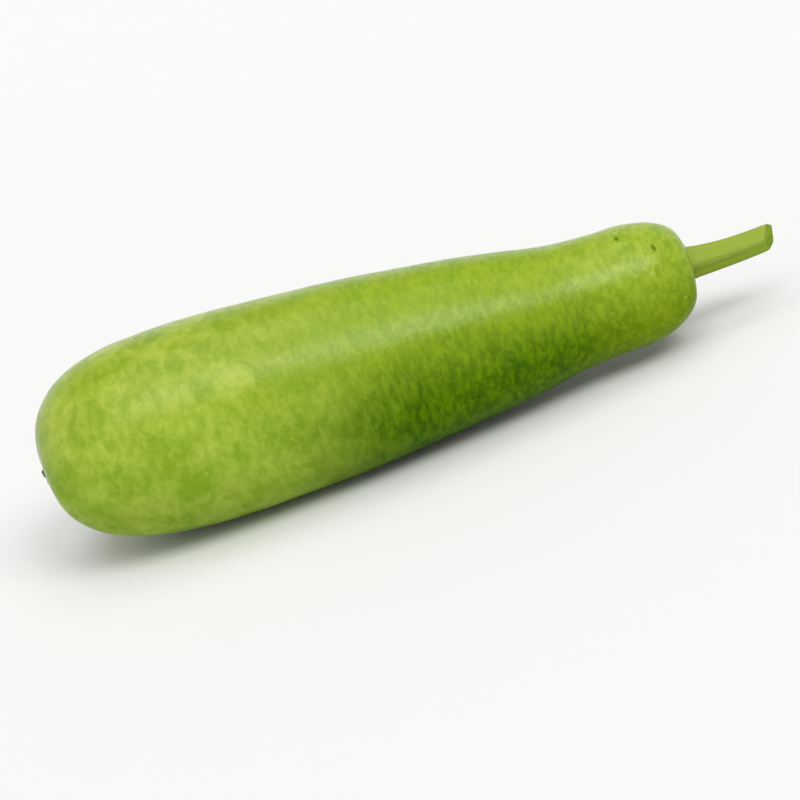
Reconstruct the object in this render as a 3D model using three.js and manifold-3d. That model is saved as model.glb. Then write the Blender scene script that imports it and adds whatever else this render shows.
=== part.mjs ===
// A bottle gourd, whole and freshly picked, lying on its side with its cut stalk on.
//
// Millimetres, +Z up. The fruit is club-shaped: a thick belly at the blossom end (-X) tapers to a
// neck, and the neck ends in a blunt shoulder that carries the ribbed stalk (+X). Its belly rests on
// a small flat spot at z = 0, and the neck dips a little, because the belly is the thicker part.
// Each piece is built in the fruit's own frame, where the blossom pole is at x = 0 and the long axis
// runs along +X. The last section lays the fruit down and centres it on the origin.
import * as THREE from "three";
import { mergeVertices } from "three/addons/utils/BufferGeometryUtils.js";
import Module from "manifold-3d";

const wasm = await Module();
wasm.setup();

// Driving dimensions
const BODY_LENGTH = 301;
const BELLY_RADIUS = 45.2;
const NECK_RADIUS = 27.9;
const STALK_LENGTH = 40.6;
const STALK_RADIUS = 5.9;
const SCAR_RADIUS = 3.7;
const REST_DEPTH = 0.45; // how much of the belly the flat resting spot takes off
const REST_TILT = THREE.MathUtils.degToRad(3.6); // neck end down
const GAP = 0.3; // left between pieces that grow out of each other

// Where the stalk and the blossom scar sit: the stalk a little above the long axis, in a shallow
// dish, and the scar a little below it, in a shallow dimple
const SOCKET_RADIUS = 8.1;
const SOCKET_DEPTH = 1.6;
const STALK_RISE = 1.4;
const STALK_DISH = 0.9;
const SCAR_DROP = 5;
const SCAR_SOCKET_DEPTH = 0.7;
const DIMPLE_DEPTH = 1.9;
const DIMPLE_SPREAD = 8.5;
const POLE_CURVATURE = 46; // radius of the round blossom end

// The fruit's outline: distance from the blossom pole, then radius
const OUTLINE = [
  [0, 0],
  [1.1, 9.9],
  [4.2, 19.8],
  [9.5, 27.6],
  [18, 34.7],
  [30, 40],
  [48, 43.8],
  [77, BELLY_RADIUS],
  [110, 44],
  [145, 42],
  [176, 38.8],
  [200, 36],
  [222, 32.8],
  [242, 29.4],
  [262, NECK_RADIUS],
  [275, 27.7],
  [286, 25.9],
  [293.6, 22.5],
  [298.6, 18.3],
  [300.5, 13.5],
  [BODY_LENGTH, 10.2],
  [BODY_LENGTH - STALK_DISH, 6.5],
  [BODY_LENGTH - STALK_DISH, 0],
];
const RINGS_PER_STRETCH = 3; // between one outline point and the next
const BODY_SIDES = 48;

// The spine's sag and sideways bow, so that the fruit isn't turned on a lathe: distance, then offset
const SAG = [
  [0, 0],
  [195, 0],
  [228, -0.6],
  [262, 0],
  [285, 0.1],
  [BODY_LENGTH, 1.1],
];
const BOW = 3;

const smoothstep = THREE.MathUtils.smoothstep;

// Straight-line interpolation in a list of [place, value] pairs
function between(pairs, place) {
  const next = pairs.findIndex(([at]) => at >= place);
  if (next === 0) return pairs[0][1];
  if (next < 0) return pairs.at(-1)[1];
  const [x0, y0] = pairs[next - 1];
  const [x1, y1] = pairs[next];
  return y0 + ((y1 - y0) * (place - x0)) / (x1 - x0);
}

// The spine's offset from the X axis at a distance from the blossom pole, as [y, z]
function spine(along) {
  const share = THREE.MathUtils.clamp(along / BODY_LENGTH, 0, 1);
  return [BOW * (2 / Math.PI - Math.sin(Math.PI * share)), between(SAG, along)];
}

// How far the skin swells or sinks at an angle round the fruit, as a share of the radius
function lobes(along, angle) {
  const middle = Math.sin(Math.PI * THREE.MathUtils.clamp(along / BODY_LENGTH, 0, 1));
  const nearStalk = smoothstep(along, BODY_LENGTH - 45, BODY_LENGTH - 8);
  return (
    0.006 * middle * Math.sin(3 * angle + along / 60) +
    0.004 * middle * Math.cos(2 * angle - along / 45) +
    0.012 * nearStalk * Math.cos(5 * angle + 0.6)
  );
}

// Solids from three.js geometries and back
function solid(geometry) {
  const bare = geometry.index ? geometry.toNonIndexed() : geometry.clone();
  bare.deleteAttribute("normal");
  bare.deleteAttribute("uv");
  const merged = mergeVertices(bare, 1e-3);
  const corners = merged.index.array;
  const triangles = [];
  for (let i = 0; i < corners.length; i += 3) {
    const [a, b, c] = corners.slice(i, i + 3);
    if (a !== b && b !== c && c !== a) triangles.push(a, b, c);
  }
  return new wasm.Manifold(
    new wasm.Mesh({
      numProp: 3,
      vertProperties: new Float32Array(merged.attributes.position.array),
      triVerts: new Uint32Array(triangles),
    }),
  );
}

function geometryOf(manifold) {
  const mesh = manifold.getMesh();
  const geometry = new THREE.BufferGeometry();
  geometry.setAttribute("position", new THREE.BufferAttribute(mesh.vertProperties, 3));
  geometry.setIndex(new THREE.BufferAttribute(mesh.triVerts, 1));
  geometry.computeVertexNormals();
  return geometry;
}

// Moves every vertex of a geometry to where a function says
function reshape(geometry, place) {
  const position = geometry.getAttribute("position");
  const vertex = new THREE.Vector3();
  for (let i = 0; i < position.count; i++) {
    vertex.fromBufferAttribute(position, i);
    const moved = place(vertex);
    position.setXYZ(i, moved.x, moved.y, moved.z);
  }
  return geometry;
}

// How deep the blossom end is dimpled round the scar
function dimple(x, y, z) {
  if (x > BODY_LENGTH / 2) return 0;
  const [aside, sag] = spine(0);
  const distance = Math.hypot(y - aside, z - sag + SCAR_DROP);
  return DIMPLE_DEPTH * Math.exp(-0.5 * (distance / DIMPLE_SPREAD) ** 2);
}

// The fruit: its outline turned round the long axis, then given its lobes, spine and dimple
function fruitBlank() {
  const curve = new THREE.SplineCurve(OUTLINE.map(([along, out]) => new THREE.Vector2(out, along)));
  const points = curve.getPoints(RINGS_PER_STRETCH * (OUTLINE.length - 1));
  points[0].x = 0;
  points.at(-1).x = 0;
  const turned = new THREE.LatheGeometry(points, BODY_SIDES).rotateZ(-Math.PI / 2);
  return reshape(turned, ({ x, y, z }) => {
    const angle = Math.atan2(z, y);
    const swell = 1 + lobes(x, angle);
    const [aside, sag] = spine(x);
    const skinY = y * swell + aside;
    const skinZ = z * swell + sag;
    return new THREE.Vector3(x + dimple(x, skinY, skinZ), skinY, skinZ);
  });
}

// The stalk: five ribs, a flared foot, a slight upward curve and a slanting cut
const STALK_RIBS = 5;
const STALK_SIDES = 8 * STALK_RIBS;
const STALK_STEPS = 16;
const RIB_DEPTH = 0.06;
const RIB_TURN = THREE.MathUtils.degToRad(48);
const RIB_TWIST = 0.35; // how far the ribs wind round the stalk, in radians
const STALK_TAPER = [
  [0, 1.24],
  [0.13, 1.21],
  [0.2, 1.15],
  [0.45, 1.04],
  [0.7, 0.99],
  [0.9, 0.96],
  [1, 0.93],
];
const CUT_SLANT = Math.tan(THREE.MathUtils.degToRad(35));
const CUT_TURN = THREE.MathUtils.degToRad(5); // the side that the cut leaves longest, up from +Y
const CUT_HOLLOW = 0.8;
const [END_ASIDE, END_SAG] = spine(BODY_LENGTH);
const ROOT_DEPTH = STALK_DISH + SOCKET_DEPTH - GAP; // how far inside the fruit's end the stalk starts
const STALK_ROOT = new THREE.Vector3(BODY_LENGTH - ROOT_DEPTH, END_ASIDE, END_SAG + STALK_RISE);
const STALK_DIP = new THREE.Vector3(STALK_LENGTH / 2, 0.3, -1.7); // from the root
const STALK_TIP = new THREE.Vector3(STALK_LENGTH + ROOT_DEPTH, 1.5, 0.1); // from the root
const STALK_PATH = new THREE.QuadraticBezierCurve3(
  STALK_ROOT,
  STALK_ROOT.clone().add(STALK_DIP),
  STALK_ROOT.clone().add(STALK_TIP),
);

function stalk() {
  const blank = new THREE.CylinderGeometry(1, 1, 1, STALK_SIDES, STALK_STEPS);
  return reshape(blank, ({ x, y, z }) => {
    const share = y + 0.5;
    const angle = Math.atan2(x, z);
    const reach = Math.hypot(x, z);
    const rib = 1 + RIB_DEPTH * Math.cos(STALK_RIBS * (angle + RIB_TURN) + RIB_TWIST * share);
    const radius = STALK_RADIUS * between(STALK_TAPER, share) * rib * reach;
    const centre = STALK_PATH.getPoint(share);
    const tangent = STALK_PATH.getTangent(share);
    const side = new THREE.Vector3(0, 1, 0);
    const up = new THREE.Vector3().crossVectors(tangent, side).normalize();
    const across = radius * Math.cos(angle);
    const slant = radius * Math.cos(angle - CUT_TURN) * CUT_SLANT * smoothstep(share, 0.7, 1);
    const hollow = share === 1 ? (1 - reach) * CUT_HOLLOW : 0;
    return centre
      .addScaledVector(side, across)
      .addScaledVector(up, radius * Math.sin(angle))
      .addScaledVector(tangent, slant - hollow);
  });
}

// The blossom scar: a corky ring with the dried stubs of the flower round it
const SCAR_SIDES = 20;
const STUBS = 6;
const STUB_LENGTH = 1.3;
const STUB_RADIUS = 0.75;
const SCAR_PROFILE = [
  [0, 0],
  [SCAR_RADIUS, 0],
  [SCAR_RADIUS + 0.2, 0.6],
  [SCAR_RADIUS - 0.2, 1.1],
  [SCAR_RADIUS - 0.9, 1.15],
  [SCAR_RADIUS - 1.5, 0.7],
  [0, 0.6],
];

function blossomScar() {
  const ring = new THREE.LatheGeometry(
    SCAR_PROFILE.map(([out, up]) => new THREE.Vector2(out, up)),
    SCAR_SIDES,
  );
  let scar = solid(ring);
  for (let i = 0; i < STUBS; i++) {
    const angle = ((i + 0.3 * Math.sin(5 * i)) / STUBS) * 2 * Math.PI;
    const length = STUB_LENGTH * (1 + 0.3 * Math.cos(7 * i));
    const stub = new THREE.ConeGeometry(STUB_RADIUS, length, 6)
      .translate(0, length / 2 + 0.7, 0)
      .rotateZ(-0.35 - 0.2 * Math.sin(3 * i))
      .translate(SCAR_RADIUS - 0.8, 0, 0)
      .rotateY(angle);
    scar = scar.add(solid(stub));
  }
  return geometryOf(scar);
}

// Puts a piece that points up into the dimple of the blossom end, and sinks it into the skin
const SCAR_LEAN = Math.asin(SCAR_DROP / POLE_CURVATURE);
function onBlossomEnd(geometry, sunk) {
  const [aside, sag] = spine(0);
  const skin = POLE_CURVATURE * (1 - Math.cos(SCAR_LEAN)) + DIMPLE_DEPTH;
  return geometry
    .translate(0, -sunk, 0)
    .rotateZ(Math.PI / 2)
    .rotateY(-SCAR_LEAN)
    .translate(skin, aside, sag - SCAR_DROP);
}

// The fruit lies down: the group that carries every piece
const fruitFrame = new THREE.Group();
fruitFrame.rotation.y = REST_TILT;
fruitFrame.updateMatrix();
const blank = fruitBlank();
const lowest = new THREE.Box3().setFromBufferAttribute(
  blank.clone().applyMatrix4(fruitFrame.matrix).getAttribute("position"),
).min.z;
fruitFrame.position.z = -lowest - REST_DEPTH;
fruitFrame.updateMatrix();

// What is cut out of the fruit: the surface that it rests on and the two sockets
const surface = new THREE.BoxGeometry(2 * BODY_LENGTH, 4 * BELLY_RADIUS, BELLY_RADIUS)
  .translate(BODY_LENGTH / 2, 0, -BELLY_RADIUS / 2)
  .applyMatrix4(fruitFrame.matrix.clone().invert());
const SOCKET_CUT = 4 * SOCKET_DEPTH;
const stalkSocket = new THREE.CylinderGeometry(SOCKET_RADIUS, SOCKET_RADIUS, SOCKET_CUT, 32)
  .rotateZ(-Math.PI / 2)
  .translate(SOCKET_CUT / 2 - GAP, 0, 0)
  .rotateY(Math.atan2(-STALK_DIP.z, STALK_DIP.x))
  .translate(STALK_ROOT.x, STALK_ROOT.y, STALK_ROOT.z);
const SCAR_SOCKET_RADIUS = SCAR_RADIUS + 0.2 + GAP;
const scarSocket = onBlossomEnd(
  new THREE.CylinderGeometry(SCAR_SOCKET_RADIUS, SCAR_SOCKET_RADIUS, 2 * SCAR_SOCKET_DEPTH, 24),
  0,
);
const fruit = solid(blank)
  .subtract(solid(surface))
  .subtract(solid(stalkSocket))
  .subtract(solid(scarSocket));

const skin = new THREE.MeshStandardMaterial({ color: 0x9ab83c, roughness: 0.45, metalness: 0 });
const stem = new THREE.MeshStandardMaterial({ color: 0x94aa43, roughness: 0.6, metalness: 0 });
const cork = new THREE.MeshStandardMaterial({ color: 0x4b5230, roughness: 0.9, metalness: 0 });

function piece(name, geometry, material) {
  const mesh = new THREE.Mesh(geometry, material);
  mesh.name = name;
  fruitFrame.add(mesh);
}

piece("fruit", geometryOf(fruit), skin);
piece("stalk", stalk(), stem);
piece("blossom_scar", onBlossomEnd(blossomScar(), SCAR_SOCKET_DEPTH - GAP), cork);

// The origin is the middle of the box's underside
const part = new THREE.Group();
part.add(fruitFrame);
part.updateMatrixWorld(true);
const box = new THREE.Box3().setFromObject(part, true);
fruitFrame.position.x -= (box.min.x + box.max.x) / 2;
fruitFrame.position.y -= (box.min.y + box.max.y) / 2;

export default part;
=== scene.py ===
"""A bottle gourd with its cut stalk, lying on a pale floor.

The rind, the stalk and the blossom scar are fine meshes that stand for the solids of the same
shape. Sizes are in millimetres in the fruit's own frame, where the blossom pole is at x = 0 and
the long axis runs along +X. placed() lays the fruit down in the frame that was loaded, in metres.
"""
import math

import bpy
import numpy as np
from mathutils import Matrix, Vector, noise


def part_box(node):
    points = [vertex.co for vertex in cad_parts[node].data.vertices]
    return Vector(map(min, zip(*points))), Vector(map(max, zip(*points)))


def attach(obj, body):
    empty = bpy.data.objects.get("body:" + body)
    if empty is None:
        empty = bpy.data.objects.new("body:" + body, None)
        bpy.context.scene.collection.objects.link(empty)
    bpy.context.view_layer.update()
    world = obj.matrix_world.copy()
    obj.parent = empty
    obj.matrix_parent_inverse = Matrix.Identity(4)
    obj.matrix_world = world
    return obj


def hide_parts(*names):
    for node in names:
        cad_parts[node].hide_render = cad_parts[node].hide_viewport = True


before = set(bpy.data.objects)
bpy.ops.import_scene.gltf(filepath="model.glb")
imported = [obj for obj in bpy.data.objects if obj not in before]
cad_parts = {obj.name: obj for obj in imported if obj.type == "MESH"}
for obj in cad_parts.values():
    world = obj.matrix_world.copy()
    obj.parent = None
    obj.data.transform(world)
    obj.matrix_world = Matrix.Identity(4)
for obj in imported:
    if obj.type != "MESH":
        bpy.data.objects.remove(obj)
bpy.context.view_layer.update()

MM = 0.001
BODY = "root"

# The fruit, as in the solids
BODY_LENGTH = 301
BELLY_RADIUS = 45.2
STALK_DISH = 0.9  # how deep the end is round the stalk's foot
OUTLINE = [  # distance along and radius
    (0, 0), (1.1, 9.9), (4.2, 19.8), (9.5, 27.6), (18, 34.7), (30, 40), (48, 43.8),
    (77, BELLY_RADIUS), (110, 44), (145, 42), (176, 38.8), (200, 36), (222, 32.8), (242, 29.4),
    (262, 27.9), (275, 27.7), (286, 25.9), (293.6, 22.5), (298.6, 18.3), (300.5, 13.5),
    (BODY_LENGTH, 10.2), (BODY_LENGTH - STALK_DISH, 6.5), (BODY_LENGTH - STALK_DISH, 0),
]
SAG = [(0, 0), (195, 0), (228, -0.6), (262, 0), (285, 0.1), (BODY_LENGTH, 1.1)]
BOW = 3  # how far the middle line bows aside
REST_TILT = math.radians(3.6)  # how far the neck end leans down as the fruit lies
SCAR_DROP = 5  # how far the scar is below the pole
DIMPLE_DEPTH = 1.9
DIMPLE_SPREAD = 8.5
POLE_CURVATURE = 46  # radius of the blossom end's cap
RIND_RINGS = 330
RIND_SIDES = 250

# The stalk, as in the solids
STALK_LENGTH = 40.6
STALK_RADIUS = 5.9
STALK_RISE = 1.4  # how far the stalk's foot is above the fruit's middle line
ROOT_DEPTH = STALK_DISH + 1.3
STALK_RIBS = 5
RIB_DEPTH = 0.06  # as a share of the radius
RIB_TURN = math.radians(48)
RIB_TWIST = 0.35  # how far the wave of the ribs shifts from foot to cut, in radians
STALK_TAPER = [  # share of the length and share of the radius
    (0, 1.24), (0.13, 1.21), (0.2, 1.15), (0.45, 1.04), (0.7, 0.99), (0.9, 0.96), (1, 0.93),
]
CUT_SLANT = math.tan(math.radians(35))
CUT_TURN = math.radians(5)
CUT_HOLLOW = 0.8
STALK_DIP = (STALK_LENGTH / 2, 0.3, -1.7)  # pulls the middle line down into a curve
STALK_TIP = (STALK_LENGTH + ROOT_DEPTH, 1.5, 0.1)
FOOT_RADIUS = 7.6

# Fine forms that only the scene has, in mm where nothing else is said
COLLAR_HEIGHT = 1.3  # how far the rind climbs up the stalk's foot
COLLAR_WIDTH = 3
COLLAR_RIBS = 0.3  # how much of that height follows the stalk's ribs
UNEVENNESS = [(0.22, 26), (0.1, 9)]  # how high and how far apart the rind's swellings are
FIBRE_RISE = 0.005  # of the fibres on the stalk's side, as a share of its radius
COARSE_FIBRES = 23
FINE_FIBRES = 41
BUNDLE_RISE = 0.16  # of the bundles in the cut face

# The blossom scar
SCAR_RADIUS = 3.7
SCAR_SUNK = 0.15
SCAR_PROFILE = [  # distance from the scar's middle and height
    (0, 0.35), (1.1, 0.25), (2.1, 0.55), (2.7, 0.95), (3.2, 1.1), (3.75, 0.8), (3.9, 0.3),
    (3.6, -0.4), (0, -0.5),
]
WITHERED_RISE = 2.0  # the flower's withered rest sits this far above the scar's middle
WITHERED_HEIGHT = 1.0
WITHERED_SPREAD = (1.2, 1.7)  # up and aside
STUBS = 6

# Marks in the rind, of which the photograph shows the first two: distance along in mm, angle round
# in degrees (90 is up, 180 is -Y), length and width in mm, and how the mark's length is turned
# from the fruit's long axis, in degrees
MARKS = [
    (270.6, 107, 2.4, 3.8, 0),
    (284.1, 129, 5, 2.1, -86),
    (231, 62, 1.6, 1.2, 20),
    (152, 20, 2.6, 1.3, 70),
    (96, 331, 2.0, 1.6, 0),
    (61, 75, 1.4, 1.1, 40),
    (205, 262, 2.2, 1.5, 80),
]

FLOOR_LEVEL = -0.00005  # just under the fruit's flat spot, so that the two faces don't coincide

# The camera, where the photograph was taken from
CAMERA_AZIMUTH = math.radians(-4)
CAMERA_ELEVATION = math.radians(22)
CAMERA_ROLL = math.radians(-19.133)
CAMERA_DISTANCE = 0.99145
CAMERA_TARGET = Vector((-0.01438, 0, 0.02183))
CAMERA_LENS = 100
CAMERA_SENSOR = 36

# The light: soft lamps far away, a very wide one at the left, two in front and one overhead, and
# an even fill. Each lamp: degrees to the right of -Y, degrees up, width in degrees, strength
LAMPS = [(-65, 36, 80, 1.05), (-8, 57, 30, 0.78), (36, 48, 26, 1.42), (80, 82, 50, 0.88)]
LAMP_DISTANCE = 2  # in metres, and of no effect on light that comes from far away
FILL_STRENGTH = 0.4

# From where to where the rind's look changes, in mm along the fruit
NECK_BEGINS = (85, 165)
NECK_SWELLS = (228, 275)
SHOULDER_BEGINS = (250, 290)
# Over these heights the neck's painted shade and the belly's painted bounce light come in
FACES_DOWN = (0.85, -0.3)  # height above the fruit's middle, as a share of the radius there

# Colours, as red, green and blue. A pair is the darkest and the lightest tone of a pattern
BELLY_GREEN = (0.163, 0.259, 0.005), (0.313, 0.389, 0.041)
# painted light: the belly's lighter, greener colour where it faces down stands in for light
# bounced up onto it
BELLY_PAINTED_LIGHT_GREEN = (0.174, 0.297, 0.013), (0.32, 0.434, 0.056)  # of the belly where it faces down
RIDGE_GREEN = (0.155, 0.254, 0.003), (0.229, 0.325, 0.012)  # along the neck's upper side
# painted shade: the neck's darker green where it faces down stands in for the shade on its
# underside
NECK_PAINTED_SHADE_GREEN = (0.031, 0.086, 0.0001), (0.101, 0.2, 0.0006)  # of the neck where it faces down
DOT_GREEN = (0.33, 0.43, 0.07)
COLLAR_GREEN = (0.26, 0.34, 0.07)
BLOSSOM_GREEN = (0.22, 0.27, 0.06)
MARK_GREEN = (0.06, 0.105, 0.002)
STALK_GREEN = (0.2, 0.298, 0.012), (0.222, 0.285, 0.036)
FOOT_GREEN = (0.3, 0.36, 0.1)
RIM_GREEN = (0.3, 0.37, 0.1)
FLESH_GREEN = (0.1, 0.18, 0.001), (0.18, 0.275, 0.004)
# painted light: the lighter flesh on the upper part of the stalk's cut
PAINTED_LIGHT_FLESH_GREEN = (0.21, 0.3, 0.012)
BUNDLE_GREEN = (0.25, 0.34, 0.02)
PITH_GREEN = (0.2, 0.31, 0.03)
BARK_BROWN = (0.026, 0.045, 0.008), (0.1, 0.125, 0.03)
BARK_DUST = (0.22, 0.23, 0.1)
FLOOR_GREY = (0.65, 0.65, 0.645)


# Shapes

def catmull_rom(points, steps):
    """A smooth curve through 2-D points, with this many steps between one and the next."""
    p = np.array(points, float)
    p = np.vstack([p[:1], p, p[-1:]])
    t = np.linspace(0, 1, steps, endpoint=False)[:, None]
    stretches = []
    for a, b, c, d in zip(p, p[1:], p[2:], p[3:]):
        bend = 2 * a - 5 * b + 4 * c - d + t * (3 * (b - c) + d - a)
        stretches.append(b + 0.5 * t * (c - a + t * bend))
    return np.vstack([*stretches, p[-1:]])


def smoothstep(value, low, high):
    """From 0 at one value to 1 at another, with no kink."""
    t = np.clip((value - low) / (high - low), 0, 1)
    return t * t * (3 - 2 * t)


def spine(along):
    """How far the fruit's middle is from the X axis: aside and up."""
    share = np.clip(along / BODY_LENGTH, 0, 1)
    return BOW * (2 / math.pi - np.sin(math.pi * share)), np.interp(along, *zip(*SAG))


def lobes(along, angle):
    """How far the rind swells or sinks at an angle round the fruit, as a share of the radius."""
    middle = np.sin(math.pi * np.clip(along / BODY_LENGTH, 0, 1))
    near_stalk = smoothstep(along, BODY_LENGTH - 45, BODY_LENGTH - 8)
    return (
        0.006 * middle * np.sin(3 * angle + along / 60)
        + 0.004 * middle * np.cos(2 * angle - along / 45)
        + 0.012 * near_stalk * np.cos(5 * angle + 0.6)
    )


def rind_grid():
    """Points of the rind as rings by sides by 3, with each point's distance along and angle."""
    outline = catmull_rom(OUTLINE, 24)
    arc = np.concatenate([[0], np.cumsum(np.linalg.norm(np.diff(outline, axis=0), axis=1))])
    at = np.linspace(0, arc[-1], RIND_RINGS)
    along = np.interp(at, arc, outline[:, 0])[:, None]
    radius = np.interp(at, arc, outline[:, 1])[:, None]
    angle = np.linspace(0, 2 * math.pi, RIND_SIDES, endpoint=False)[None, :]
    swell = 1 + lobes(along, angle)
    aside, sag = spine(along)
    y = radius * np.cos(angle) * swell + aside
    z = radius * np.sin(angle) * swell + sag
    at_blossom_end = along < BODY_LENGTH / 2
    aside0, sag0 = spine(0)
    from_scar = np.hypot(y - aside0, z - sag0 + SCAR_DROP)
    dimple = DIMPLE_DEPTH * np.exp(-0.5 * (from_scar / DIMPLE_SPREAD) ** 2) * at_blossom_end
    root = stalk_root()
    from_stalk = np.hypot(y - root[1], z - root[2])
    ribs = 1 + COLLAR_RIBS * np.cos(STALK_RIBS * (angle + RIB_TURN))
    climb = smoothstep(from_stalk, FOOT_RADIUS + COLLAR_WIDTH, FOOT_RADIUS)
    collar = COLLAR_HEIGHT * ribs * climb
    collar *= ~at_blossom_end * smoothstep(from_stalk, FOOT_RADIUS - 2.5, FOOT_RADIUS - 0.5)
    x = along + dimple + collar
    return np.stack([x, y, z], -1), along + 0 * angle, angle + 0 * along


def stalk_root():
    """Where the stalk's middle line begins, inside the fruit's dish."""
    aside, sag = spine(BODY_LENGTH)
    return np.array([BODY_LENGTH - ROOT_DEPTH, aside, sag + STALK_RISE])


def stalk_frames(share):
    """The stalk's middle, its direction and its upward direction at shares of its length."""
    root = stalk_root()
    dip = root + STALK_DIP
    tip = root + STALK_TIP
    t = np.asarray(share)[:, None]
    centre = (1 - t) ** 2 * root + 2 * t * (1 - t) * dip + t**2 * tip
    tangent = (1 - t) * (dip - root) + t * (tip - dip)
    tangent /= np.linalg.norm(tangent, axis=1)[:, None]
    up = np.cross(tangent, [0, 1, 0])
    return centre, tangent, up / np.linalg.norm(up, axis=1)[:, None]


def stalk_grid():
    """Points of the stalk as rings by sides by 3: up its side from the root, then into the cut.

    With them go the share of its length, the reach from the cut's middle to its rim and the angle
    round the ribs.
    """
    side_rings, cut_rings, sides = 130, 26, 180
    share = np.concatenate([[0], np.linspace(0, 1, side_rings), np.ones(cut_rings)])
    reach = np.concatenate([[0], np.ones(side_rings), np.linspace(0.975, 0, cut_rings)])
    angle = np.linspace(0, 2 * math.pi, sides, endpoint=False)[None, :]
    centre, tangent, up = stalk_frames(share)
    share = share[:, None]
    reach = reach[:, None]
    turned = angle + RIB_TURN + RIB_TWIST / STALK_RIBS * share
    taper = np.interp(share, *catmull_rom(STALK_TAPER, 12).T)
    crest = np.cos(STALK_RIBS * turned)
    fibre = np.cos(COARSE_FIBRES * turned + 1.3 * np.sin(5 * share))
    fibre += 0.7 * np.cos(FINE_FIBRES * turned - 2 * share)
    on_side = smoothstep(share, 0, 0.15) * smoothstep(share, 1.01, 0.97)
    rib = 1 + RIB_DEPTH * crest + 0.012 * crest * np.abs(crest) + FIBRE_RISE * fibre * on_side
    rim = 1 - 0.03 * smoothstep(share, 0.985, 1)
    radius = STALK_RADIUS * taper * rib * rim * reach
    across = radius * np.cos(angle)
    slant = radius * np.cos(angle - CUT_TURN) * CUT_SLANT * smoothstep(share, 0.7, 1)
    bundle_ring = np.exp(-(((reach - 0.72) / 0.09) ** 2))
    bundles = BUNDLE_RISE * bundle_ring * np.cos(2 * STALK_RIBS * turned)
    face = np.where(reach < 1, CUT_HOLLOW * (1 - reach**4) - bundles, 0)
    face = np.where(share < 1, 0, face)
    points = (
        centre[:, None]
        + across[..., None] * np.array([0, 1, 0])
        + (radius * np.sin(angle))[..., None] * up[:, None]
        + (slant - face)[..., None] * tangent[:, None]
    )
    return points, share + 0 * angle, reach + 0 * angle, turned + 0 * share


def scar_grid():
    """Points of the blossom scar's corky ring, which opens along +Z, before it is put in place."""
    profile = catmull_rom(SCAR_PROFILE, 8)
    angle = np.linspace(0, 2 * math.pi, 96, endpoint=False)[None, :]
    out, up = profile[:, :1], profile[:, 1:]
    edge = smoothstep(out, 1.5, 3)
    ragged = 0.12 * np.sin(7 * angle + 1) + 0.09 * np.sin(13 * angle)
    ragged += 0.06 * np.sin(23 * angle + 2)
    out = out * (1 + 0.05 * edge * np.sin(5 * angle + 0.4) + 0.025 * edge * np.sin(17 * angle))
    x, y = out * np.cos(angle), out * np.sin(angle)
    lopsided = 0.75 + 0.25 * np.cos(angle)
    from_lump = np.hypot((x - WITHERED_RISE) / WITHERED_SPREAD[0], y / WITHERED_SPREAD[1])
    withered = WITHERED_HEIGHT * np.exp(-0.5 * from_lump**2)
    withered *= 1 + 0.25 * np.sin(4 * x + 1) * np.cos(3 * y)
    height = up * np.where(up > 0, lopsided, 1) + (edge * ragged + withered) * (up > 0.1)
    return np.stack([x, y, height], -1)


def stub_grid(angle, length, curl, width):
    """Points of one withered stub of the flower on the scar's ring, a curled and tapered shard."""
    rings, sides = 14, 10
    t = np.linspace(0, 1, rings)
    lean = curl * t
    step = length / (rings - 1)
    out = np.cumsum(np.sin(lean)) * step
    up = np.cumsum(np.cos(lean)) * step
    around = np.linspace(0, 2 * math.pi, sides, endpoint=False)[None, :]
    half = (width / 2 * (1 - t**1.6) ** 0.8 * (1 + 0.2 * np.sin(9 * t + angle)))[:, None]
    half[0] = half[-1] = 0
    radial = SCAR_RADIUS - 0.75 + out[:, None] + 0.38 * half * np.cos(around)
    tangential = half * np.sin(around)
    height = 0.6 + up[:, None] - 0.2 * half * np.cos(around)
    x = radial * math.cos(angle) - tangential * math.sin(angle)
    y = radial * math.sin(angle) + tangential * math.cos(angle)
    return np.stack([x, y, height + 0 * around], -1)


def on_blossom_end(points):
    """Puts points that stand on the XY plane on the dimpled blossom end, with +Z pointing out."""
    lean = math.asin(SCAR_DROP / POLE_CURVATURE)
    outward = np.array([-math.cos(lean), 0, -math.sin(lean)])
    upward = np.array([-math.sin(lean), 0, math.cos(lean)])
    aside, sag = spine(0)
    x = POLE_CURVATURE * (1 - math.cos(lean)) + DIMPLE_DEPTH
    base = np.array([x, aside, sag - SCAR_DROP])
    return (
        base
        + points[..., :1] * upward
        + points[..., 1:2] * np.array([0, 1, 0])
        + (points[..., 2:] - SCAR_SUNK) * outward
    )


def closed_mesh(name, grids):
    """A mesh of closed shells. A grid's rings are loops, and its two end rings are one point."""
    vertices, faces = [], []
    for grid in grids:
        rings, sides = grid.shape[:2]
        start = len(vertices)
        vertices.append(grid[0].mean(0))
        vertices.extend(grid[1:-1].reshape(-1, 3))
        vertices.append(grid[-1].mean(0))
        last = len(vertices) - 1
        for j in range(sides):
            k = (j + 1) % sides
            faces.append((start, start + 1 + k, start + 1 + j))
            tail = start + 1 + (rings - 3) * sides
            faces.append((last, tail + j, tail + k))
        for i in range(rings - 3):
            row = start + 1 + i * sides
            for j in range(sides):
                k = (j + 1) % sides
                faces.append((row + j, row + k, row + sides + k, row + sides + j))
    mesh = bpy.data.meshes.new(name)
    mesh.from_pydata([tuple(v) for v in vertices], [], faces)
    mesh.update()
    outward_faces(mesh)
    for polygon in mesh.polygons:
        polygon.use_smooth = True
    return mesh


def outward_faces(mesh):
    """Turns the mesh's faces over if they point in."""
    volume = 0
    mesh.calc_loop_triangles()
    for triangle in mesh.loop_triangles:
        a, b, c = (mesh.vertices[i].co for i in triangle.vertices)
        volume += a.dot(b.cross(c))
    if volume < 0:
        mesh.flip_normals()


def ring_values(grid):
    """One value for each vertex of a closed mesh, from a grid of values."""
    return np.concatenate([[grid[0].mean()], grid[1:-1].ravel(), [grid[-1].mean()]])


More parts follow.
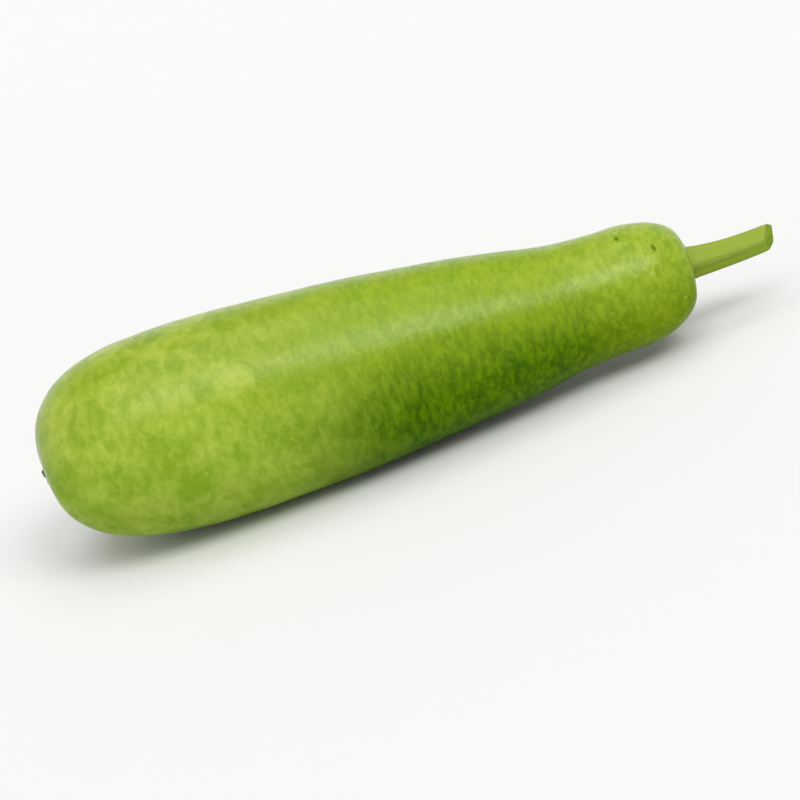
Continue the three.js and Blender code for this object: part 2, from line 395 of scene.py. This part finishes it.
def read_vectors(vectors, name):
    """The vectors of that name that Blender keeps for a mesh, as rows."""
    values = np.empty(len(vectors) * 3, np.float32)
    vectors.foreach_get(name, values)
    return values.reshape(-1, 3).astype(float)


def write_vertices(mesh, points):
    mesh.vertices.foreach_set("co", points.astype(np.float32).ravel())
    mesh.update()


def add_values(mesh, name, values):
    attribute = mesh.attributes.new(name, "FLOAT", "POINT")
    attribute.data.foreach_set("value", values.astype(np.float32))


def add_vectors(mesh, name, vectors):
    attribute = mesh.attributes.new(name, "FLOAT_VECTOR", "POINT")
    attribute.data.foreach_set("vector", vectors.astype(np.float32).ravel())


def tilted(points):
    """Points of the fruit's frame with the neck end turned down to how the fruit lies."""
    x, y, z = np.moveaxis(np.asarray(points, float), -1, 0)
    cosine, sine = math.cos(REST_TILT), math.sin(REST_TILT)
    return np.stack([x * cosine + z * sine, y, z * cosine - x * sine], -1)


def fruit_offset(grid):
    """What moves the tilted fruit, in mm, to where its solid lies."""
    points = tilted(grid).reshape(-1, 3)
    low, high = (np.array(corner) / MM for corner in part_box("fruit"))
    middle = (low + high) / 2 - (points.min(0) + points.max(0)) / 2
    return np.array([middle[0], middle[1], high[2] - points[:, 2].max()])


def placed(points):
    """Points of the fruit's frame, in mm, in the loaded frame, in metres."""
    return (tilted(points) + OFFSET) * MM


def unevenness(point):
    """How far the rind swells at a point of the fruit's frame, in mm."""
    apart = Vector((7, 3, 1))
    return sum(
        height * noise.noise(point / spacing + i * apart)
        for i, (height, spacing) in enumerate(UNEVENNESS)
    )


def add_piece(name, mesh, material, node):
    """Puts a mesh in the scene in place of a solid of the frame."""
    piece = bpy.data.objects.new(name, mesh)
    bpy.context.scene.collection.objects.link(piece)
    mesh.materials.append(material)
    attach(piece, BODY)
    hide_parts(node)


# Materials

class Shader:
    """A material's nodes, with a short call for each kind of node."""

    def __init__(self, name):
        self.material = bpy.data.materials.new(name)
        self.material.use_nodes = True
        self.tree = self.material.node_tree
        self.surface = self.tree.nodes["Principled BSDF"]

    def node(self, kind, inputs=(), **settings):
        made = self.tree.nodes.new(kind)
        for key, value in settings.items():
            setattr(made, key, value)
        for socket, value in dict(inputs).items():
            self.put(made.inputs[socket], value)
        return made

    def put(self, socket, value):
        if isinstance(value, bpy.types.NodeSocket):
            self.tree.links.new(value, socket)
        elif value is not None:
            socket.default_value = (*value, 1) if socket.type == "RGBA" else value

    def set(self, **inputs):
        for name, value in inputs.items():
            self.put(self.surface.inputs[name.replace("_", " ")], value)

    def position(self):
        """A point's own place in its piece."""
        return self.node("ShaderNodeTexCoord").outputs["Object"]

    def attribute(self, name, output="Fac"):
        return self.node("ShaderNodeAttribute", attribute_name=name).outputs[output]

    def noise(self, vector, scale, detail=2, roughness=0.5, distortion=0):
        """Noise with about that many lumps to a metre."""
        inputs = {
            "Vector": vector, "Scale": scale, "Detail": detail, "Roughness": roughness,
            "Distortion": distortion,
        }
        return self.node("ShaderNodeTexNoise", inputs).outputs["Fac"]

    def dots(self, vector, scale):
        """Distance to the nearest of scattered points, in cells, and that point's own number."""
        made = self.node("ShaderNodeTexVoronoi", {"Vector": vector, "Scale": scale})
        return made.outputs["Distance"], made.outputs["Color"]

    def stretched(self, vector, scale):
        made = self.node("ShaderNodeVectorMath", {0: vector, 1: scale}, operation="MULTIPLY")
        return made.outputs[0]

    def between(self, value, low, high):
        """From 0 at one value to 1 at another, with no kink."""
        inputs = {"Value": value, "From Min": low, "From Max": high}
        made = self.node("ShaderNodeMapRange", inputs, interpolation_type="SMOOTHSTEP")
        return made.outputs["Result"]

    def math(self, operation, a, b):
        return self.node("ShaderNodeMath", {0: a, 1: b}, operation=operation).outputs[0]

    def times(self, a, b):
        return self.math("MULTIPLY", a, b)

    def plus(self, first, *more):
        for value in more:
            first = self.math("ADD", first, value)
        return first

    def blend(self, factor, a, b):
        """From value a to value b."""
        made = self.node("ShaderNodeMix", {"Factor": factor, "A": a, "B": b}, data_type="FLOAT")
        return made.outputs["Result"]

    def paint(self, factor, a, b):
        """From colour a to colour b."""
        made = self.node("ShaderNodeMix", {"Factor": factor}, data_type="RGBA")
        colours = [socket for socket in made.inputs if socket.type == "RGBA"]
        self.put(colours[0], a)
        self.put(colours[1], b)
        return next(socket for socket in made.outputs if socket.type == "RGBA")

    def spot(self, vector, place, turn, size):
        """Distance from a place, 1 on an ellipsoid with these half axes, turned that way."""
        inputs = {"Vector": vector, "Location": place, "Rotation": turn, "Scale": size}
        local = self.node("ShaderNodeMapping", inputs, vector_type="TEXTURE").outputs["Vector"]
        return self.node("ShaderNodeVectorMath", {0: local}, operation="LENGTH").outputs["Value"]

    def bump(self, height, distance, normal=None):
        """The surface's direction on bumps of that height in metres, which may lie on others."""
        inputs = {"Height": height, "Distance": distance, "Strength": 1, "Normal": normal}
        return self.node("ShaderNodeBump", inputs).outputs["Normal"]


def rind_material(marks):
    s = Shader("rind")
    place = s.position()
    unrolled = s.attribute("unrolled", "Vector")
    neck = s.attribute("neck")
    streaky = s.attribute("streaky")
    under = s.attribute("under")
    painted_shade_share = s.attribute("painted_shade_share")
    shoulder = s.attribute("shoulder")
    collar = s.attribute("collar")
    blossom = s.attribute("blossom")

    # Broad patches, mottling that gives way to streaks on the neck, and a fine grain
    patches = s.between(s.noise(place, 62), 0.38, 0.62)
    mottle = s.stretched(place, (1.6, 1, 1))
    mottle = s.noise(mottle, 150, detail=2.5, roughness=0.55, distortion=0.3)
    mottle = s.between(mottle, 0.38, 0.64)
    streaks = s.stretched(unrolled, (2.8, 1, 1))
    streaks = s.noise(streaks, 128, detail=2.5, roughness=0.6, distortion=0.3)
    streaks = s.between(streaks, 0.37, 0.64)
    grain = s.between(s.noise(place, 520, detail=3, roughness=0.6), 0.34, 0.66)
    pattern = s.blend(streaky, mottle, streaks)
    tone = s.plus(
        s.times(grain, 0.18),
        s.times(patches, s.blend(neck, 0.38, 0.22)),
        s.times(pattern, s.blend(streaky, 0.38, 0.6)),
    )

    belly, belly_painted_light, ridge, neck_painted_shade = (
        s.paint(tone, dark, light)
        for dark, light in (BELLY_GREEN, BELLY_PAINTED_LIGHT_GREEN, RIDGE_GREEN, NECK_PAINTED_SHADE_GREEN)
    )
    # The belly is painted lighter and greener where it faces down: painted bounce light
    belly_skin = s.paint(s.times(under, 0.9), belly, belly_painted_light)
    # The neck is painted darker where it faces down: painted shade
    neck_skin = s.paint(painted_shade_share, ridge, neck_painted_shade)
    skin = s.paint(neck, belly_skin, neck_skin)

    # Pale dots on a few of the scattered points, and the pale rind round stalk and scar
    reach, number = s.dots(place, 150)
    dot = s.between(reach, 0.24, 0.09)
    chosen = s.between(number, 0.42, 0.47)
    dot = s.times(s.times(dot, chosen), s.blend(shoulder, 0.1, 0.6))
    skin = s.paint(dot, skin, DOT_GREEN)
    skin = s.paint(s.times(collar, 0.55), skin, COLLAR_GREEN)
    skin = s.paint(s.times(blossom, 0.5), skin, BLOSSOM_GREEN)

    # The dark marks, with an uneven edge
    wobble = s.times(s.math("SUBTRACT", s.noise(place, 900), 0.5), 0.5)
    mark = 0
    for centre, turn, size in marks:
        inside = s.between(s.plus(s.spot(place, centre, turn, size), wobble), 1.35, 0.35)
        mark = s.math("MAXIMUM", mark, inside)
    skin = s.paint(s.times(mark, 0.8), skin, MARK_GREEN)

    height = s.plus(s.times(pattern, 0.35), s.times(grain, 0.3))
    height = s.math("SUBTRACT", height, mark)
    normal = s.bump(s.noise(place, 1500, roughness=0.6), 0.00004)
    s.set(
        Base_Color=skin,
        Roughness=s.blend(pattern, 0.29, 0.25),
        Normal=s.bump(height, 0.0001, normal),
        Specular_IOR_Level=s.blend(mark, s.blend(under, 0.2, 0.02), 0.02),
    )
    return s.material


def stalk_material():
    s = Shader("stalk")
    place = s.position()
    share = s.attribute("share")
    crest = s.attribute("crest")
    painted_light_top = s.attribute("painted_light_top")
    round_stalk = s.attribute("fibres", "Vector")
    fibres = s.noise(s.stretched(round_stalk, (1, 14, 14)), 90, detail=3, roughness=0.6)
    fibres = s.between(fibres, 0.35, 0.65)
    blotches = s.between(s.noise(place, 220, detail=3, roughness=0.6), 0.35, 0.65)
    # The stalk is painted lighter on its upper side, a painted light
    tone = s.plus(
        s.times(fibres, 0.25), s.times(blotches, 0.15), s.times(crest, 0.2), s.times(painted_light_top, 0.4)
    )
    skin = s.paint(tone, *STALK_GREEN)
    foot = s.between(share, 0.1, 0.03)
    skin = s.paint(s.times(foot, 0.4), skin, FOOT_GREEN)
    rim = s.between(share, 0.975, 1.0)
    skin = s.paint(s.times(rim, 0.2), skin, RIM_GREEN)
    normal = s.bump(s.noise(place, 1400, roughness=0.6), 0.00005)
    s.set(
        Base_Color=skin,
        Roughness=s.blend(fibres, 0.62, 0.5),
        Normal=s.bump(fibres, 0.0001, normal),
        Specular_IOR_Level=0.15,
    )
    return s.material


def cut_material():
    s = Shader("stalk_cut")
    place = s.position()
    reach = s.attribute("reach")
    bundles = s.attribute("bundles")
    painted_light_top = s.attribute("painted_light_top")
    pores = s.between(s.noise(place, 1100, detail=3, roughness=0.65), 0.35, 0.65)
    ring = s.times(s.between(reach, 0.55, 0.72), s.between(reach, 0.92, 0.78))
    bundle = s.times(ring, s.between(bundles, 0.2, 0.9))
    pith = s.between(reach, 0.42, 0.2)
    # The cut's flesh is painted lighter towards the top, a painted light
    flesh = s.paint(painted_light_top, s.paint(pores, *FLESH_GREEN), PAINTED_LIGHT_FLESH_GREEN)
    flesh = s.paint(s.times(bundle, 0.5), flesh, BUNDLE_GREEN)
    flesh = s.paint(s.times(pith, 0.4), flesh, PITH_GREEN)
    s.set(
        Base_Color=flesh,
        Roughness=s.blend(pores, 0.6, 0.45),
        Normal=s.bump(pores, 0.00015),
        Specular_IOR_Level=0.04,
    )
    return s.material


def scar_material():
    s = Shader("blossom_scar")
    place = s.position()
    coarse = s.between(s.noise(place, 500, detail=4, roughness=0.65), 0.35, 0.65)
    fine = s.noise(place, 1800, detail=3, roughness=0.6)
    bark = s.paint(coarse, *BARK_BROWN)
    bark = s.paint(s.times(fine, 0.3), bark, BARK_DUST)
    s.set(
        Base_Color=bark,
        Roughness=s.blend(coarse, 0.95, 0.8),
        Normal=s.bump(s.plus(coarse, fine), 0.0002),
    )
    return s.material


# Pieces

def make_rind():
    mesh = closed_mesh("fruit_rind", [RIND])
    along, angle = ring_values(ALONG), ring_values(ANGLE)
    swell = np.array([unevenness(vertex.co) for vertex in mesh.vertices])
    swell *= smoothstep(along, BODY_LENGTH, BODY_LENGTH - 8)
    points = read_vectors(mesh.vertices, "co")
    points += read_vectors(mesh.vertex_normals, "vector") * swell[:, None]
    add_rind_values(mesh, points, along, angle)
    world = placed(points)
    world[:, 2] = np.maximum(world[:, 2], 0)  # the flat spot that the fruit lies on
    write_vertices(mesh, world)
    material = rind_material(marks_on(points, along, angle))
    add_piece("fruit_rind", mesh, material, "fruit")


def add_rind_values(mesh, points, along, angle):
    """Gives the rind's mesh the values that its material goes by."""
    around = BELLY_RADIUS * MM
    unrolled = np.stack([along * MM, around * np.cos(angle), around * np.sin(angle)], -1)
    add_vectors(mesh, "unrolled", unrolled)

    aside, sag = spine(along)
    y, z = points[:, 1] - aside, points[:, 2] - sag
    height = z / np.maximum(np.hypot(y, z), 1)
    # How far the rind faces down, which sets the neck's painted shade, the belly's painted bounce
    # light and a lower specular level
    under = smoothstep(height, *FACES_DOWN)
    streaky = smoothstep(along, *NECK_BEGINS)
    swelling = smoothstep(along, *NECK_SWELLS)
    add_values(mesh, "streaky", streaky)
    add_values(mesh, "under", under)
    # The swelling at the stalk has half of the belly's look on top, and less of the painted shade
    # below
    add_values(mesh, "neck", streaky * (1 - 0.5 * swelling * (1 - under)))
    add_values(mesh, "painted_shade_share", under * (1 - 0.7 * swelling))
    add_values(mesh, "shoulder", smoothstep(along, *SHOULDER_BEGINS))

    at_stalk = along > BODY_LENGTH / 2
    root = stalk_root()
    from_stalk = np.hypot(points[:, 1] - root[1], points[:, 2] - root[2])
    collar = smoothstep(from_stalk, FOOT_RADIUS + 4, FOOT_RADIUS) * at_stalk
    add_values(mesh, "collar", collar)
    aside, sag = spine(0)
    from_scar = np.hypot(points[:, 1] - aside, points[:, 2] - sag + SCAR_DROP)
    blossom = smoothstep(from_scar, SCAR_RADIUS + 3.5, SCAR_RADIUS) * ~at_stalk
    add_values(mesh, "blossom", blossom)


def marks_on(points, along, angle):
    """Each mark's place, turn and size in the loaded frame, for the material."""
    usual_radius = 40  # turns an angle into mm round the fruit
    found = []
    for mark_along, degrees, length, width, turn in MARKS:
        away = usual_radius * np.angle(np.exp(1j * (angle - math.radians(degrees))))
        nearest = points[np.argmin(np.hypot(along - mark_along, away))]
        aside, sag = spine(mark_along)
        outward = Vector((0, nearest[1] - aside, nearest[2] - sag)).normalized()
        lying = Matrix.Rotation(REST_TILT, 3, "Y")
        outward = lying @ outward
        forward = lying @ Vector((1, 0, 0))
        forward = Matrix.Rotation(math.radians(turn), 3, outward) @ forward
        axes = Matrix((forward, outward.cross(forward), outward)).transposed()
        size = Vector((length / 2, width / 2, width)) * MM
        found.append((Vector(placed(nearest)), axes.to_euler(), size))
    return found


def make_stalk():
    points, share, reach, turned = stalk_grid()
    mesh = closed_mesh("stalk_ribbed", [points])
    share, reach, angle = ring_values(share), ring_values(reach), ring_values(turned)
    angle[0] = angle[-1] = 0  # a point has no angle of its own
    around = STALK_RADIUS * MM
    length = share * STALK_LENGTH * MM
    fibres = np.stack([length, around * np.cos(angle), around * np.sin(angle)], -1)
    add_vectors(mesh, "fibres", fibres)
    add_values(mesh, "share", share)
    add_values(mesh, "reach", reach)
    add_values(mesh, "crest", 0.5 + 0.5 * np.cos(STALK_RIBS * angle))
    # Where the stalk faces up, which its materials paint lighter as painted light
    add_values(mesh, "painted_light_top", smoothstep(np.sin(angle - RIB_TURN), -0.7, 0.45))
    add_values(mesh, "bundles", np.cos(2 * STALK_RIBS * angle))
    write_vertices(mesh, placed(read_vectors(mesh.vertices, "co")))
    add_piece("stalk_ribbed", mesh, stalk_material(), "stalk")
    mesh.materials.append(cut_material())
    inside_rim = 0.999
    on_cut = (reach < inside_rim) & (share > 0.5)
    for polygon in mesh.polygons:
        polygon.material_index = int(all(on_cut[i] for i in polygon.vertices))


def make_scar():
    grids = [scar_grid()]
    for i in range(STUBS):
        angle = (i + 0.3 * math.sin(5 * i)) / STUBS * 2 * math.pi
        length = 1.1 * (1 + 0.3 * math.cos(7 * i)) * (0.7 - 0.5 * math.cos(angle))
        curl = 0.9 * math.sin(3 * i + 1)
        width = 1.5 + 0.3 * math.cos(4 * i)
        grids.append(stub_grid(angle, length, curl, width))
    mesh = closed_mesh("scar_corky", [on_blossom_end(grid) for grid in grids])
    write_vertices(mesh, placed(read_vectors(mesh.vertices, "co")))
    add_piece("scar_corky", mesh, scar_material(), "blossom_scar")


# The studio

def make_floor():
    """A pale floor, flat round the fruit, that curves up far away like a wide shallow bowl."""
    flat, edge = 1.5, 12.0  # distances from the middle, in metres
    steep = 0.05
    reach = np.concatenate([np.linspace(0, flat, 8), np.linspace(flat, edge, 60)[1:]])
    sides = 96
    vertices = [(0, 0, FLOOR_LEVEL)]
    for r in reach[1:]:
        height = FLOOR_LEVEL + steep * max(r - flat, 0) ** 2
        for j in range(sides):
            a = 2 * math.pi * j / sides
            vertices.append((r * math.cos(a), r * math.sin(a), height))
    faces = [(0, 1 + j, 1 + (j + 1) % sides) for j in range(sides)]
    for i in range(len(reach) - 2):
        row = 1 + i * sides
        for j in range(sides):
            k = (j + 1) % sides
            faces.append((row + j, row + sides + j, row + sides + k, row + k))
    mesh = bpy.data.meshes.new("floor")
    mesh.from_pydata(vertices, [], faces)
    for polygon in mesh.polygons:
        polygon.use_smooth = True
    floor = bpy.data.objects.new("floor", mesh)
    bpy.context.scene.collection.objects.link(floor)
    s = Shader("floor")
    s.set(Base_Color=FLOOR_GREY, Roughness=0.9, Specular_IOR_Level=0.1)
    mesh.materials.append(s.material)


def direction(azimuth, elevation):
    """Towards a place so many radians to the right of -Y and so many up."""
    level = math.cos(elevation)
    return Vector(
        (math.sin(azimuth) * level, -math.cos(azimuth) * level, math.sin(elevation))
    )


def make_lights():
    for azimuth, elevation, width, strength in LAMPS:
        towards = direction(math.radians(azimuth), math.radians(elevation))
        light = bpy.data.lights.new("lamp", "SUN")
        light.energy = strength
        light.angle = math.radians(width)
        lamp = bpy.data.objects.new("lamp", light)
        lamp.rotation_euler = towards.to_track_quat("Z", "Y").to_euler()
        lamp.location = LAMP_DISTANCE * towards
        bpy.context.scene.collection.objects.link(lamp)
    world = bpy.data.worlds.new("room")
    bpy.context.scene.world = world
    world.use_nodes = True
    background = world.node_tree.nodes["Background"]
    background.inputs["Color"].default_value = (1, 1, 1, 1)
    background.inputs["Strength"].default_value = FILL_STRENGTH


def make_camera():
    back = direction(CAMERA_AZIMUTH, CAMERA_ELEVATION)
    level = Vector((math.cos(CAMERA_AZIMUTH), math.sin(CAMERA_AZIMUTH), 0))
    above = back.cross(level)
    right = math.cos(CAMERA_ROLL) * level + math.sin(CAMERA_ROLL) * above
    up = math.cos(CAMERA_ROLL) * above - math.sin(CAMERA_ROLL) * level
    camera = bpy.data.objects.new("camera", bpy.data.cameras.new("camera"))
    camera.data.lens = CAMERA_LENS
    camera.data.sensor_width = CAMERA_SENSOR
    place = Matrix.Translation(CAMERA_TARGET + CAMERA_DISTANCE * back)
    camera.matrix_world = place @ Matrix((right, up, back)).transposed().to_4x4()
    bpy.context.scene.collection.objects.link(camera)
    bpy.context.scene.camera = camera


# What the functions above share of the fruit: its points, and how it is moved to where it lies
RIND, ALONG, ANGLE = rind_grid()
OFFSET = fruit_offset(RIND)

make_camera()
make_rind()
make_stalk()
make_scar()
make_floor()
make_lights()
bpy.context.scene.view_settings.view_transform = "Standard"
